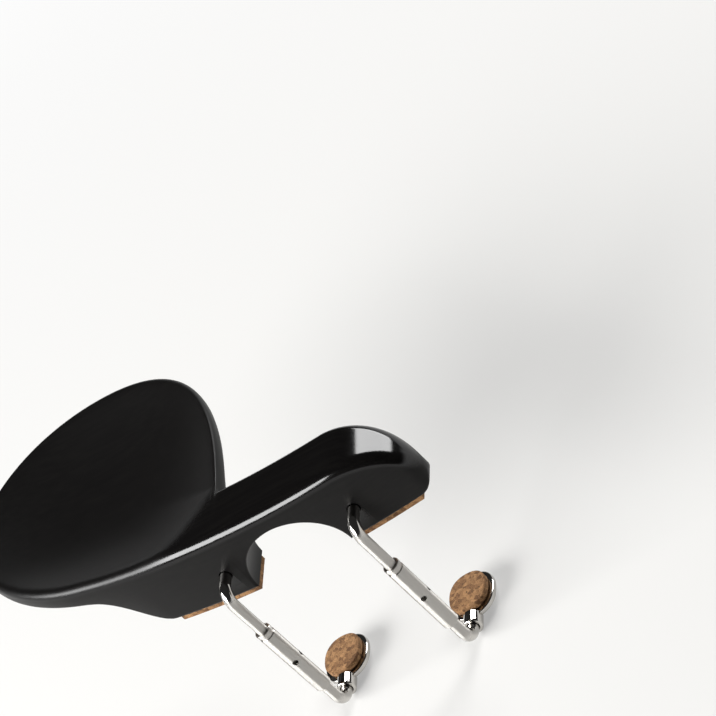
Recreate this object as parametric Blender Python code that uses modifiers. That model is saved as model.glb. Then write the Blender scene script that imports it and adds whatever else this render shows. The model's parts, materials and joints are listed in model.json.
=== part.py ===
"""Violin chin rest with a two-post clamp.

A carved ebony plate, scooped for the chin, stands on two cork pads beside the tailpiece. Two bent
rods screwed into its front wall, two turnbuckle barrels and two footed lower rods clamp it to the
violin's end. Metres, +Z up, +Y towards the violin's neck, +X towards its treble side. The origin
lies on the top face of the violin's edge, midway between the posts.
"""

import math

import bmesh
import bpy
from mathutils import Matrix, Vector
from mathutils.geometry import interpolate_bezier

MM = 0.001

# Violin that the rest clamps
END_RADIUS = 215.0 * MM
JAW_OPENING = 35.0 * MM

# Plate: plan
PLATE_LENGTH = 133.0 * MM
WALL_FRONT = -0.4 * MM
ARM_DEPTH = 15.0 * MM
ARM_RIGHT = 38.0 * MM
ARM_END_LENGTH = 19.0 * MM
ARM_END_CORNER = 3.0 * MM
CUP_CORNER_X = -13.0 * MM
CUP_SIDE_PULL = 33.0 * MM
CUP_SHOULDER_PULL = 31.0 * MM
CUP_BACK_X = -56.0 * MM
CUP_BACK_Y = 72.0 * MM
CUP_LEFT_X = ARM_RIGHT - PLATE_LENGTH
CUP_LEFT_Y = 42.0 * MM
CUP_BACK_PULL = 24.0 * MM
CUP_LEFT_PULL = 16.0 * MM
CUP_FRONT_X = -60.0 * MM
CUP_FRONT_PULL = 18.0 * MM

# Plate: heights and edges
TOP_HEIGHT = 21.8 * MM
TOP_TILT = math.radians(3.4)
EDGE_ROUND = 3.0 * MM
RIM_ROUND = 1.6 * MM
RIM_UNDER_ROUND = 2.0 * MM
RIM_LAND = 1.3 * MM
RIM_THICKNESS = 4.4 * MM
FRONT_THICKNESS = 9.5 * MM
FOOT_ROUND = 0.7 * MM
ARM_END_HEIGHT = 6.5 * MM
ARM_END_TUCK = 4.5 * MM
ARM_END_ROUND = 2.0 * MM

# Plate: chin hollow
BOWL_X = -54.0 * MM
BOWL_Y = 38.0 * MM
BOWL_DEPTH = 7.5 * MM
CREASE_LEFT_X = -47.0 * MM
CREASE_CORNER_PULL = 17.0 * MM
CREASE_LEFT_PULL = 17.0 * MM

# Plate: feet, arch and rod holes
FOOT_DEPTH = 12.0 * MM
LEFT_FOOT_END = -41.0 * MM
FOOT_FLARE = 9.0 * MM
FOOT_INNER_SLOPE = 1.5 * MM
ARCH_CENTRE = -1.0 * MM
ARCH_WIDTH = 28.0 * MM
ARCH_TOP = 15.6 * MM

# Cork
PLATE_CORK_THICKNESS = 1.7 * MM
FOOT_CORK_THICKNESS = 1.7 * MM
CORK_INSET = 0.6 * MM
BOND = 0.3 * MM

# Clamp
POST_SPACING = 38.6 * MM
POST_OFFSET = 6.2 * MM
ROD_DIAMETER = 3.0 * MM
HOOK_HEIGHT = 9.4 * MM
UPPER_BEND = 4.0 * MM
LOWER_BEND = 4.2 * MM
HOOK_IN_PLATE = 8.0 * MM
HOLE_BOTTOM = 0.5 * MM
THREAD_GAP = 0.2 * MM
BARREL_TOP = -5.0 * MM
BARREL_LENGTH = 24.2 * MM
BARREL_DIAMETER = 4.4 * MM
BARREL_LIP = 1.1 * MM
BARREL_GROOVE = 0.7 * MM
GROOVE_DEPTH = 0.25 * MM
BARREL_ROUND = 0.8 * MM
PIN_HOLE = 1.5 * MM
PIN_ANGLE = math.radians(20)
ROD_ENGAGEMENT = 8.5 * MM

# Clamp feet
FOOT_PLATE_THICKNESS = 1.5 * MM
FOOT_PLATE_WIDTH = 13.0 * MM
FOOT_PLATE_LENGTH = 14.0 * MM
FOOT_PLATE_START = 1.5 * MM
FOOT_BOSS_DIAMETER = 5.0 * MM
FOOT_BOSS_LENGTH = 3.0 * MM
FOOT_SOCKET_DEPTH = 2.4 * MM
BOSS_LAP = 0.5 * MM
OVAL_POWER = 0.85

FOOT_BOTTOM = PLATE_CORK_THICKNESS + BOND
ROD_RADIUS = ROD_DIAMETER / 2
BORE_RADIUS = ROD_RADIUS + THREAD_GAP
POST_Y = -POST_OFFSET
BARREL_BOTTOM = BARREL_TOP - BARREL_LENGTH
FOOT_PLATE_TOP = -JAW_OPENING - FOOT_CORK_THICKNESS - BOND
FOOT_PLATE_MIDDLE = FOOT_PLATE_TOP - FOOT_PLATE_THICKNESS / 2
SIDES = {"left": -1, "right": 1}

# Facets
WELD = 0.001 * MM
SMOOTH_ANGLE = math.radians(35)
ROUND_STEPS = 4
BOWL_STEPS = 15
UNDER_STEPS = 9
STRIP_STEPS = 3
CUP_STATIONS = 34
ARM_STATIONS = 7
END_STATIONS = 9
END_START = math.radians(5)
OUTLINE_STEPS = 48
HOLLOW_STEPS = 200
CORK_STEPS = 8
BEND_STEPS = 8
ROD_FACETS = 4
BARREL_SIDES = 24
BARREL_EDGE = math.radians(60)
HOLE_SIDES = 24
ARCH_SIDES = 48
PIN_SIDES = 12
OVAL_STEPS = 40

# Largest shares of a thin section that a rounded edge or a foot takes
EDGE_SHARE = 0.45
LOW_SHARE = 0.3
FOOT_SHARE = 0.9
LEAST_SLANT = 0.5

# Power by which the front's extra depth runs out at the tip of the cup
TIP_FADE = 6


def clear_scene():
    for obj in list(bpy.data.objects):
        bpy.data.objects.remove(obj)


def new_collection(name):
    collection = bpy.data.collections.new(name)
    bpy.context.scene.collection.children.link(collection)
    return collection


def new_material(name, colour, roughness, metallic=0.0):
    material = bpy.data.materials.new(name)
    material.use_nodes = True
    shader = material.node_tree.nodes["Principled BSDF"]
    shader.inputs["Base Color"].default_value = (*colour, 1)
    shader.inputs["Roughness"].default_value = roughness
    shader.inputs["Metallic"].default_value = metallic
    return material


def wall_y(x):
    """Front wall in plan, an arc along the violin's end."""
    return WALL_FRONT + x * x / (2 * END_RADIUS)


def top_plane(y):
    """Height of the board's top face, which rises towards the neck."""
    return TOP_HEIGHT + y * math.tan(TOP_TILT)


def nose(distance, reach):
    """Share of a rounded end's drop, from 1 at its tip to 0 at its reach."""
    share = max(0.0, 1 - distance / reach)
    return 1 - math.sqrt(max(0.0, 1 - share * share))


def bezier(start, start_handle, end_handle, end):
    points = interpolate_bezier(
        start.to_3d(), start_handle.to_3d(), end_handle.to_3d(), end.to_3d(), OUTLINE_STEPS
    )
    return [point.to_2d() for point in points]


def along(points, share):
    """Point at a share of a polyline's length."""
    lengths = [(b - a).length for a, b in zip(points, points[1:])]
    wanted = share * sum(lengths)
    for a, b, length in zip(points, points[1:], lengths):
        if wanted <= length:
            return a.lerp(b, wanted / length)
        wanted -= length
    return points[-1].copy()


def cup_back_curve():
    """Rim of the cup from the corner at the arm, round the back to the left tip."""
    corner = Vector((CUP_CORNER_X, wall_y(CUP_CORNER_X) + ARM_DEPTH))
    back = Vector((CUP_BACK_X, CUP_BACK_Y))
    tip = Vector((CUP_LEFT_X, CUP_LEFT_Y))
    side = bezier(
        corner,
        corner + Vector((0, CUP_SIDE_PULL)),
        back + Vector((CUP_SHOULDER_PULL, 0)),
        back,
    )
    end = bezier(
        back, back - Vector((CUP_BACK_PULL, 0)), tip + Vector((0, CUP_LEFT_PULL)), tip
    )
    return side + end[1:]


def cup_front_curve():
    """Front of the cup from below the corner, along the wall and round to the left tip."""
    span = CUP_FRONT_X - CUP_CORNER_X
    xs = [CUP_CORNER_X + span * i / OUTLINE_STEPS for i in range(OUTLINE_STEPS + 1)]
    wall = [Vector((x, wall_y(x))) for x in xs]
    tip = Vector((CUP_LEFT_X, CUP_LEFT_Y))
    slope = Vector((-1, -CUP_FRONT_X / END_RADIUS)).normalized()
    turn = bezier(
        wall[-1], wall[-1] + slope * CUP_FRONT_PULL, tip - Vector((0, CUP_LEFT_PULL)), tip
    )
    return wall + turn[1:]


def crease_curve():
    """Line where the hollow meets the arm's strip."""
    corner = Vector((CUP_CORNER_X - RIM_LAND, wall_y(CUP_CORNER_X) + ARM_DEPTH + RIM_LAND))
    left = Vector((CREASE_LEFT_X, wall_y(CREASE_LEFT_X) + RIM_LAND))
    slope = Vector((-1, -CREASE_LEFT_X / END_RADIUS)).normalized()
    down = Vector((-1, -1)).normalized()
    return bezier(
        corner, corner + down * CREASE_CORNER_PULL, left - slope * CREASE_LEFT_PULL, left
    )


class Hollow:
    """The chin hollow, as a radius for each direction from its middle."""

    def __init__(self):
        self.middle = Vector((BOWL_X, BOWL_Y))
        rim = cup_back_curve() + cup_front_curve()[::-1]
        self.rim = self.polar(rim)
        self.crease = self.polar(crease_curve())

    def polar(self, points):
        pairs = []
        for point in points:
            arm = point - self.middle
            pairs.append((math.atan2(arm.y, arm.x), arm.length))
        return sorted(pairs)

    @staticmethod
    def radius(table, angle):
        for (a, ra), (b, rb) in zip(table, table[1:]):
            if a <= angle <= b:
                return ra + (rb - ra) * (angle - a) / max(b - a, 1e-9)
        return None

    def share(self, point):
        """0 in the middle, 1 on the hollow's edge."""
        arm = point - self.middle
        angle = math.atan2(arm.y, arm.x)
        ends = (self.rim[0][1] + self.rim[-1][1]) / 2
        reach = (self.radius(self.rim, angle) or ends) - RIM_LAND
        crease = self.radius(self.crease, angle)
        return arm.length / (min(reach, crease) if crease else reach)

    def depth(self, point):
        return BOWL_DEPTH * max(0.0, 1 - self.share(point) ** 2)

    def edges(self, front, back):
        """Shares of the line from front to back where it enters and leaves the hollow."""
        shares = [i / HOLLOW_STEPS for i in range(HOLLOW_STEPS + 1)]
        inside = [share for share in shares if self.share(front.lerp(back, share)) < 1]
        return (inside[0], inside[-1]) if inside else None


class Station:
    """Where one ring of the plate starts and ends, and how its edges run."""

    def __init__(self, front, back, cup=False):
        self.front = front
        self.back = back
        self.cup = cup
        self.top_drop = 0.0
        self.under_rise = 0.0
        self.back_round = RIM_ROUND
        self.front_low = FOOT_ROUND
        self.back_low = FOOT_ROUND
        self.front_bottom = FOOT_BOTTOM
        self.back_bottom = FOOT_BOTTOM


def end_stations():
    """Rings of the arm's rounded right end, closing on its tip."""
    stations = []
    for i in range(END_STATIONS):
        angle = END_START + (math.pi / 2 - END_START) * i / END_STATIONS
        distance = ARM_END_LENGTH * (1 - math.cos(angle))
        x = ARM_RIGHT - distance
        full = nose(distance, ARM_END_LENGTH)
        corner = nose(distance, ARM_END_CORNER)
        front = Vector((x, wall_y(x) + ARM_END_CORNER * corner))
        back = Vector((x, wall_y(x) + ARM_DEPTH - (ARM_DEPTH - ARM_END_CORNER) * full))
        station = Station(front, back)
        station.top_drop = (top_plane(front.y) - ARM_END_HEIGHT) * full
        tuck = nose(distance, ARM_END_TUCK)
        station.front_bottom = FOOT_BOTTOM + (ARM_END_HEIGHT - FOOT_BOTTOM) * tuck
        station.back_bottom = station.front_bottom
        station.back_round = RIM_ROUND + ARM_END_ROUND * (1 - distance / ARM_END_LENGTH)
        stations.append(station)
    return stations


def arm_stations():
    """Rings of the straight arm, from its end to the corner at the cup."""
    start = ARM_RIGHT - ARM_END_LENGTH
    stations = []
    for i in range(ARM_STATIONS + 1):
        x = start + (CUP_CORNER_X - start) * i / ARM_STATIONS
        front = Vector((x, wall_y(x)))
        stations.append(Station(front, front + Vector((0, ARM_DEPTH))))
    return stations


def cup_stations():
    """Rings of the cup, fanning from the corner to the left tip."""
    front_curve = cup_front_curve()
    back_curve = cup_back_curve()
    stations = []
    for i in range(1, CUP_STATIONS + 1):
        share = math.sin(math.pi / 2 * i / (CUP_STATIONS + 1))
        front = along(front_curve, share)
        back = along(back_curve, share)
        station = Station(front, back, cup=True)
        station.front_low = FOOT_ROUND + (RIM_UNDER_ROUND - FOOT_ROUND) * share
        station.back_low = RIM_UNDER_ROUND
        tip = nose((front.x + back.x) / 2 - CUP_LEFT_X, RIM_ROUND)
        station.top_drop = RIM_ROUND * tip
        rise = (RIM_THICKNESS - RIM_ROUND) / 2 * tip
        station.under_rise = station.top_drop + rise
        station.back_bottom = top_plane(back.y) - RIM_THICKNESS + rise
        deeper = (FRONT_THICKNESS - RIM_THICKNESS) * (1 - share) * (1 - share**TIP_FADE)
        rim_bottom = top_plane(front.y) - RIM_THICKNESS - deeper + rise
        past_foot = max(0.0, LEFT_FOOT_END - front.x)
        foot = math.exp(-((past_foot / FOOT_FLARE) ** 2))
        station.front_bottom = rim_bottom + (FOOT_BOTTOM - rim_bottom) * foot
        stations.append(station)
    return stations


def quarter(start, end):
    """Angles of one rounded edge."""
    return [start + (end - start) * i / ROUND_STEPS for i in range(ROUND_STEPS + 1)]


def between(start, end, steps):
    """Evenly spaced values between two ends, without the ends."""
    return [start + (end - start) * i / (steps + 1) for i in range(1, steps + 1)]


def ring_of(station, hollow):
    """One closed ring, up the front, over the top and back along the underside."""
    front = station.front
    back = station.back
    span = (back - front).length
    half = math.pi / 2
    front_across = min(EDGE_ROUND, EDGE_SHARE * span)
    back_across = min(station.back_round, EDGE_SHARE * span)

    def place(distance):
        return front.lerp(back, distance / span)

    def board(distance):
        return top_plane(place(distance).y) - station.top_drop

    front_height = board(0) - station.front_bottom
    back_height = board(span) - station.back_bottom
    front_up = min(EDGE_ROUND, EDGE_SHARE * front_height)
    back_up = min(station.back_round, EDGE_SHARE * back_height)
    front_low = min(station.front_low, EDGE_SHARE * front_height, LOW_SHARE * span)
    back_low = min(station.back_low, EDGE_SHARE * back_height, LOW_SHARE * span)

    def hollow_depth(distance):
        return hollow.depth(place(distance)) if station.cup else 0.0

    def top(distance):
        front_share = nose(distance, front_across)
        back_share = nose(span - distance, back_across)
        edge = front_up * front_share + back_up * back_share
        return board(distance) - edge - hollow_depth(distance)

    def under(distance):
        if not station.cup:
            return station.front_bottom
        return board(distance) + station.under_rise - hollow_depth(distance) - RIM_THICKNESS

    edges = hollow.edges(front, back) if station.cup else None
    entry = edges[0] * span if edges else span / 2
    leave = edges[1] * span if edges else span - back_across
    turn_in = math.acos(max(0.0, 1 - entry / front_across))
    turn_out = math.acos(max(0.0, 1 - (span - leave) / back_across))
    front_edge = [front_across * (1 - math.cos(angle)) for angle in quarter(0, turn_in)]
    back_edge = [span - back_across * (1 - math.cos(angle)) for angle in quarter(turn_out, 0)]
    strip = between(front_edge[-1], entry, STRIP_STEPS)
    bowl = [
        entry + (leave - entry) * (1 - math.cos(math.pi * i / BOWL_STEPS)) / 2
        for i in range(1, BOWL_STEPS)
    ]
    reach = FOOT_DEPTH / max((back - front).normalized().y, LEAST_SLANT)
    foot_top = min(reach + FOOT_INNER_SLOPE, span - back_low - front_low)
    foot = min(reach, FOOT_SHARE * foot_top)
    ring = []
    for angle in quarter(0, half):
        height = station.front_bottom + front_low * (1 - math.cos(angle))
        ring.append((front_low * (1 - math.sin(angle)), height))
    ring += [(distance, top(distance)) for distance in front_edge + strip + bowl + back_edge]
    for angle in quarter(0, half):
        height = station.back_bottom + back_low * (1 - math.sin(angle))
        ring.append((span - back_low * (1 - math.cos(angle)), height))
    for distance in between(span - back_low, foot_top, UNDER_STEPS) + [foot_top]:
        ring.append((distance, under(distance)))
    ring.append((foot, station.front_bottom))
    return [(*place(distance), height) for distance, height in ring]


def lofted(name, rings):
    """Closed body through rings of equal length, with a fan of faces on each end."""
    mesh = bmesh.new()
    loops = [[mesh.verts.new(point) for point in ring] for ring in rings]
    count = len(loops[0])
    for one, two in zip(loops, loops[1:]):
        for i in range(count):
            j = (i + 1) % count
            mesh.faces.new((one[i], one[j], two[j], two[i]))
    for loop in (loops[0][::-1], loops[-1]):
        tip = mesh.verts.new(sum((vert.co for vert in loop), Vector()) / count)
        for i in range(count):
            mesh.faces.new((loop[i], loop[(i + 1) % count], tip))
    bmesh.ops.remove_doubles(mesh, verts=mesh.verts, dist=WELD)
    bmesh.ops.triangulate(mesh, faces=mesh.faces)
    if mesh.calc_volume(signed=True) < 0:
        bmesh.ops.reverse_faces(mesh, faces=mesh.faces)
    data = bpy.data.meshes.new(name)
    mesh.to_mesh(data)
    mesh.free()
    return data


def add_object(name, data, collection, material=None, location=(0, 0, 0), parent=None):
    obj = bpy.data.objects.new(name, data)
    obj.location = location
    collection.objects.link(obj)
    if material:
        data.materials.append(material)
    if parent:
        obj.parent = parent
        obj.matrix_parent_inverse = Matrix.Translation(-parent.location)
    return obj


def cylinder(name, collection, start, end, radius, sides=HOLE_SIDES, squash=1.0):
    """Cutter along the line from start to end, with a flat and not a corner on its sides."""
    axis = end - start
    mesh = bmesh.new()
    bmesh.ops.create_cone(
        mesh, cap_ends=True, segments=sides, radius1=radius, radius2=radius, depth=axis.length
    )
    turn = Matrix.Rotation(math.pi / sides, 3, "Z")
    bmesh.ops.rotate(mesh, cent=(0, 0, 0), matrix=turn, verts=mesh.verts)
    bmesh.ops.scale(mesh, vec=(1, squash, 1), verts=mesh.verts)
    data = bpy.data.meshes.new(name)
    mesh.to_mesh(data)
    mesh.free()
    obj = add_object(name, data, collection, location=(start + end) / 2)
    obj.rotation_euler = axis.to_track_quat("Z", "Y").to_euler()
    obj.hide_render = True
    obj.display_type = "WIRE"
    return obj


def cut(obj, cutter, operation="DIFFERENCE"):
    modifier = obj.modifiers.new(cutter.name, "BOOLEAN")
    modifier.operation = operation
    modifier.object = cutter


def make_plate(parts, cutters, ebony):
    hollow = Hollow()
    stations = end_stations() + arm_stations() + cup_stations()
    data = lofted("chin_plate", [ring_of(station, hollow) for station in stations])
    data.shade_smooth()
    data.set_sharp_from_angle(angle=SMOOTH_ANGLE)
    plate = add_object("chin_plate", data, parts, ebony)
    reach = CUP_BACK_Y
    arch = cylinder(
        "arch_cutter",
        cutters,
        Vector((ARCH_CENTRE, -reach, FOOT_BOTTOM)),
        Vector((ARCH_CENTRE, reach, FOOT_BOTTOM)),
        ARCH_WIDTH / 2,
        sides=ARCH_SIDES,
        squash=(ARCH_TOP - FOOT_BOTTOM) / (ARCH_WIDTH / 2),
    )
    cut(plate, arch)
    for side, sign in SIDES.items():
        x = sign * POST_SPACING / 2
        depth = wall_y(x) + HOOK_IN_PLATE + HOLE_BOTTOM
        hole = cylinder(
            f"rod_hole_{side}",
            cutters,
            Vector((x, POST_Y, HOOK_HEIGHT)),
            Vector((x, depth, HOOK_HEIGHT)),
            BORE_RADIUS,
        )
        cut(plate, hole)


def flat_piece(name, outline, bottom, thickness, collection, material, parent=None):
    """Closed flat outline, extruded up from its bottom face."""
    curve = bpy.data.curves.new(name, "CURVE")
    curve.dimensions = "2D"
    curve.fill_mode = "BOTH"
    curve.extrude = thickness / 2
    spline = curve.splines.new("POLY")
    spline.points.add(len(outline) - 1)
    for point, (x, y) in zip(spline.points, outline):
        point.co = (x, y, 0, 1)
    spline.use_cyclic_u = True
    place = (0, 0, bottom + thickness / 2)
    return add_object(name, curve, collection, material, place, parent)


def make_plate_corks(parts, cork):
    arch_left = ARCH_CENTRE - ARCH_WIDTH / 2
    arch_right = ARCH_CENTRE + ARCH_WIDTH / 2
    spans = {
        "left": (LEFT_FOOT_END, arch_left),
        "right": (arch_right, ARM_RIGHT - ARM_END_TUCK),
    }
    for side, (start, end) in spans.items():
        low = start + CORK_INSET
        high = end - CORK_INSET
        xs = [low + (high - low) * i / CORK_STEPS for i in range(CORK_STEPS + 1)]
        outline = [(x, wall_y(x) + CORK_INSET + FOOT_ROUND) for x in xs]
        outline += [(x, wall_y(x) + FOOT_DEPTH - CORK_INSET) for x in reversed(xs)]
        flat_piece(f"plate_cork_{side}", outline, 0, PLATE_CORK_THICKNESS, parts, cork)


def rod(name, points, collection, material, parent=None):
    """Round bar along a path in the plane of one post."""
    curve = bpy.data.curves.new(name, "CURVE")
    curve.dimensions = "3D"
    curve.bevel_depth = ROD_RADIUS
    curve.bevel_resolution = ROD_FACETS
    curve.use_fill_caps = True
    spline = curve.splines.new("POLY")
    spline.points.add(len(points) - 1)
    for point, co in zip(spline.points, points):
        point.co = (*co, 1)
    spline.use_smooth = True
    return add_object(name, curve, collection, material, parent=parent)


def bend(x, y, z, radius, start, end):
    """Arc in the plane of one post."""
    points = []
    for i in range(BEND_STEPS + 1):
        angle = start + (end - start) * i / BEND_STEPS
        points.append((x, y + radius * math.cos(angle), z + radius * math.sin(angle)))
    return points


def make_upper_hook(side, x, parts, chrome):
    inside = wall_y(x) + HOOK_IN_PLATE
    path = [(x, inside, HOOK_HEIGHT)]
    path += bend(
        x, POST_Y + UPPER_BEND, HOOK_HEIGHT - UPPER_BEND, UPPER_BEND, math.pi / 2, math.pi
    )
    path.append((x, POST_Y, BARREL_TOP - ROD_ENGAGEMENT))
    rod(f"upper_hook_{side}", path, parts, chrome)


def make_barrel(side, x, parts, cutters, chrome):
    """Turnbuckle barrel: a turned tube with a lip at its top and pin holes across its middle."""
    outer = BARREL_DIAMETER / 2
    half = BARREL_LENGTH / 2
    neck = outer - GROOVE_DEPTH
    lip = half - BARREL_LIP
    groove = lip - BARREL_GROOVE
    profile = [
        (BORE_RADIUS, half),
        (outer - GROOVE_DEPTH, half),
        (outer, half - GROOVE_DEPTH),
        (outer, lip),
        (neck, lip - GROOVE_DEPTH),
        (neck, groove + GROOVE_DEPTH),
        (outer, groove),
    ]
    for angle in quarter(0, BARREL_EDGE):
        fall = BARREL_ROUND * (1 - math.sin(angle)) - half
        profile.append((outer - BARREL_ROUND * (1 - math.cos(angle)), fall))
    profile.append((BORE_RADIUS, -half))
    data = bpy.data.meshes.new(f"barrel_{side}")
    count = len(profile)
    edges = [(i, (i + 1) % count) for i in range(count)]
    data.from_pydata([(r, 0, z) for r, z in profile], edges, [])
    barrel = add_object(
        f"barrel_{side}", data, parts, chrome, (x, POST_Y, BARREL_TOP - half)
    )
    turn = barrel.modifiers.new("turn", "SCREW")
    turn.steps = BARREL_SIDES
    turn.render_steps = BARREL_SIDES
    turn.use_merge_vertices = True
    turn.merge_threshold = WELD
    turn.use_normal_calculate = True
    middle = Vector((x, POST_Y, BARREL_TOP - half))
    for i in range(2):
        angle = PIN_ANGLE + i * math.pi / 2
        arm = Vector((math.cos(angle), math.sin(angle), 0)) * BARREL_DIAMETER
        hole = cylinder(
            f"pin_hole_{side}_{i}", cutters, middle - arm, middle + arm, PIN_HOLE / 2, PIN_SIDES
        )
        cut(barrel, hole)


def oval(x, start, inset):
    """Plan of a clamp foot, a full oval behind its boss."""
    half_width = FOOT_PLATE_WIDTH / 2 - inset
    half_length = FOOT_PLATE_LENGTH / 2 - inset
    centre = start + FOOT_PLATE_LENGTH / 2
    outline = []
    for i in range(OVAL_STEPS):
        angle = 2 * math.pi * i / OVAL_STEPS
        across = math.copysign(abs(math.cos(angle)) ** OVAL_POWER, math.cos(angle))
        deep = math.copysign(abs(math.sin(angle)) ** OVAL_POWER, math.sin(angle))
        outline.append((x + half_width * across, centre + half_length * deep))
    return outline


def meshed(obj, collection):
    """A curve object turned into a welded mesh object."""
    bpy.context.view_layer.update()
    graph = bpy.context.evaluated_depsgraph_get()
    data = bpy.data.meshes.new_from_object(obj.evaluated_get(graph))
    mesh = bmesh.new()
    mesh.from_mesh(data)
    bmesh.ops.remove_doubles(mesh, verts=mesh.verts, dist=WELD)
    mesh.to_mesh(data)
    mesh.free()
    name = obj.name
    place = obj.matrix_world.copy()
    parent = obj.parent
    bpy.data.objects.remove(obj)
    solid = bpy.data.objects.new(name, data)
    collection.objects.link(solid)
    solid.parent = parent
    if parent:
        solid.matrix_parent_inverse = parent.matrix_world.inverted()
    solid.matrix_world = place
    return solid


def make_lower_foot(side, x, parts, cutters, chrome, cork):
    """Lower rod with its foot plate and cork, which rise together as the barrel turns."""
    carrier = bpy.data.objects.new(f"lower_clamp_{side}", None)
    carrier.location = (x, POST_Y, BARREL_BOTTOM)
    parts.objects.link(carrier)
    boss_front = FOOT_PLATE_START - FOOT_BOSS_LENGTH
    rod_end = boss_front + FOOT_SOCKET_DEPTH - HOLE_BOTTOM
    path = [(x, POST_Y, BARREL_BOTTOM + ROD_ENGAGEMENT)]
    path += bend(
        x,
        POST_Y + LOWER_BEND,
        FOOT_PLATE_MIDDLE + LOWER_BEND,
        LOWER_BEND,
        math.pi,
        1.5 * math.pi,
    )
    path.append((x, rod_end, FOOT_PLATE_MIDDLE))
    rod(f"lower_hook_{side}", path, parts, chrome, carrier)
    plate = flat_piece(
        f"foot_plate_{side}",
        oval(x, FOOT_PLATE_START, 0),
        FOOT_PLATE_TOP - FOOT_PLATE_THICKNESS,
        FOOT_PLATE_THICKNESS,
        parts,
        chrome,
        carrier,
    )
    plate = meshed(plate, parts)
    front = Vector((x, boss_front, FOOT_PLATE_MIDDLE))
    boss = cylinder(
        f"boss_{side}",
        cutters,
        front,
        Vector((x, FOOT_PLATE_START + BOSS_LAP, FOOT_PLATE_MIDDLE)),
        FOOT_BOSS_DIAMETER / 2,
    )
    cut(plate, boss, "UNION")
    socket = cylinder(
        f"socket_{side}",
        cutters,
        Vector((x, POST_Y, FOOT_PLATE_MIDDLE)),
        Vector((x, boss_front + FOOT_SOCKET_DEPTH, FOOT_PLATE_MIDDLE)),
        BORE_RADIUS,
    )
    cut(plate, socket)
    flat_piece(
        f"foot_cork_{side}",
        oval(x, FOOT_PLATE_START, CORK_INSET + BOSS_LAP),
        -JAW_OPENING - FOOT_CORK_THICKNESS,
        FOOT_CORK_THICKNESS,
        parts,
        cork,
        carrier,
    )


def main():
    clear_scene()
    parts = new_collection("chin_rest")
    cutters = new_collection("cutters")
    ebony = new_material("ebony", (0.012, 0.011, 0.011), 0.35)
    chrome = new_material("nickel_plated_brass", (0.75, 0.74, 0.72), 0.12, 1.0)
    cork = new_material("cork", (0.42, 0.25, 0.13), 0.9)
    make_plate(parts, cutters, ebony)
    make_plate_corks(parts, cork)
    for side, sign in SIDES.items():
        x = sign * POST_SPACING / 2
        make_upper_hook(side, x, parts, chrome)
        make_barrel(side, x, parts, cutters, chrome)
        make_lower_foot(side, x, parts, cutters, chrome, cork)


main()
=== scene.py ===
import bisect
import json
import math
from functools import partial

import bmesh
import bpy
from bpy.props import FloatProperty, FloatVectorProperty, IntProperty, PointerProperty
from mathutils import Matrix, Vector, noise
from mathutils.geometry import interpolate_bezier

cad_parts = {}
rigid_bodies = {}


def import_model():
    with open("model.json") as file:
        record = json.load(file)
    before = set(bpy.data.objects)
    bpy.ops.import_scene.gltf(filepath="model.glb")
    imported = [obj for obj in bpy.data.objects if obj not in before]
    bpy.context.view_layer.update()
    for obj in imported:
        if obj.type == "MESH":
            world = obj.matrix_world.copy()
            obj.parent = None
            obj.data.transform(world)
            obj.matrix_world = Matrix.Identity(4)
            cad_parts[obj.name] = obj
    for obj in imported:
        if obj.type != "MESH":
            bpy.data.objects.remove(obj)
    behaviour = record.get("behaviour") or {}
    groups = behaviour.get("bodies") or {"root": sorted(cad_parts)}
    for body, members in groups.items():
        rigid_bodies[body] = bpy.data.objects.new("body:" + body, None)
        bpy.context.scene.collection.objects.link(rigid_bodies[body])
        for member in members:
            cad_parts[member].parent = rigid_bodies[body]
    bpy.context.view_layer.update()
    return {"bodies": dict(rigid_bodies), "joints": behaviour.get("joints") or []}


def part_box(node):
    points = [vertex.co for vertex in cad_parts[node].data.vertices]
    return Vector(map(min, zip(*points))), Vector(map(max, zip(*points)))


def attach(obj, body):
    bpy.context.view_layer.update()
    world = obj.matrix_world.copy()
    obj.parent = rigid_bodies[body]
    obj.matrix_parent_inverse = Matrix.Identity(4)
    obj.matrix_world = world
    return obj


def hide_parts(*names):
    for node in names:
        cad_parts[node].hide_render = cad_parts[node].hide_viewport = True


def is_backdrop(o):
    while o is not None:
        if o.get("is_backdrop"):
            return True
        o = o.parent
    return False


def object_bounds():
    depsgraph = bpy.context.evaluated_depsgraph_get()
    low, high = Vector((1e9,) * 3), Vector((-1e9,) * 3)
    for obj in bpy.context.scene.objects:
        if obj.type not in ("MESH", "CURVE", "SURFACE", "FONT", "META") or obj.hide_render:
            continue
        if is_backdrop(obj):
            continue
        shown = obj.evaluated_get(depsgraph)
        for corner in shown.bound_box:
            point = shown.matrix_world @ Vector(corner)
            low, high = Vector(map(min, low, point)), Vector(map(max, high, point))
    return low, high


bl_info = {
    "name": "Chin rest",
    "version": (1, 0, 0),
    "blender": (4, 5, 0),
    "location": "View3D > Sidebar > Chin rest",
    "description": "Dresses a violin chin rest and its two-post clamp",
    "category": "Object",
}

MM = 0.001
QUARTER = math.pi / 2
SIDES = ("left", "right")
# Points nearer to each other than this are one
WELD = 0.001 * MM
# How far a rod's hole runs past the rod, and a boss into its foot plate
OVERRUN = 0.5 * MM
# Spacing of the points along a cut cork edge, and the size of its unevenness
CORK_SPACING = 0.5 * MM
CORK_GRAIN = 0.6 * MM

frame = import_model()


def rgb(code):
    """Linear colour of an sRGB hex value."""
    shares = [int(code[i:i + 2], 16) / 255 for i in (1, 3, 5)]
    return [v / 12.92 if v <= 0.04045 else ((v + 0.055) / 1.055) ** 2.4 for v in shares]


def length(name, text, value):
    return FloatProperty(
        name=name, description=text, default=value * MM, unit="LENGTH", subtype="DISTANCE",
        precision=5,
    )


def angle(name, text, degrees):
    return FloatProperty(
        name=name, description=text, default=math.radians(degrees), subtype="ANGLE"
    )


def colour(name, text, code):
    return FloatVectorProperty(
        name=name, description=text, default=rgb(code), subtype="COLOR", min=0, max=1
    )


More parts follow.
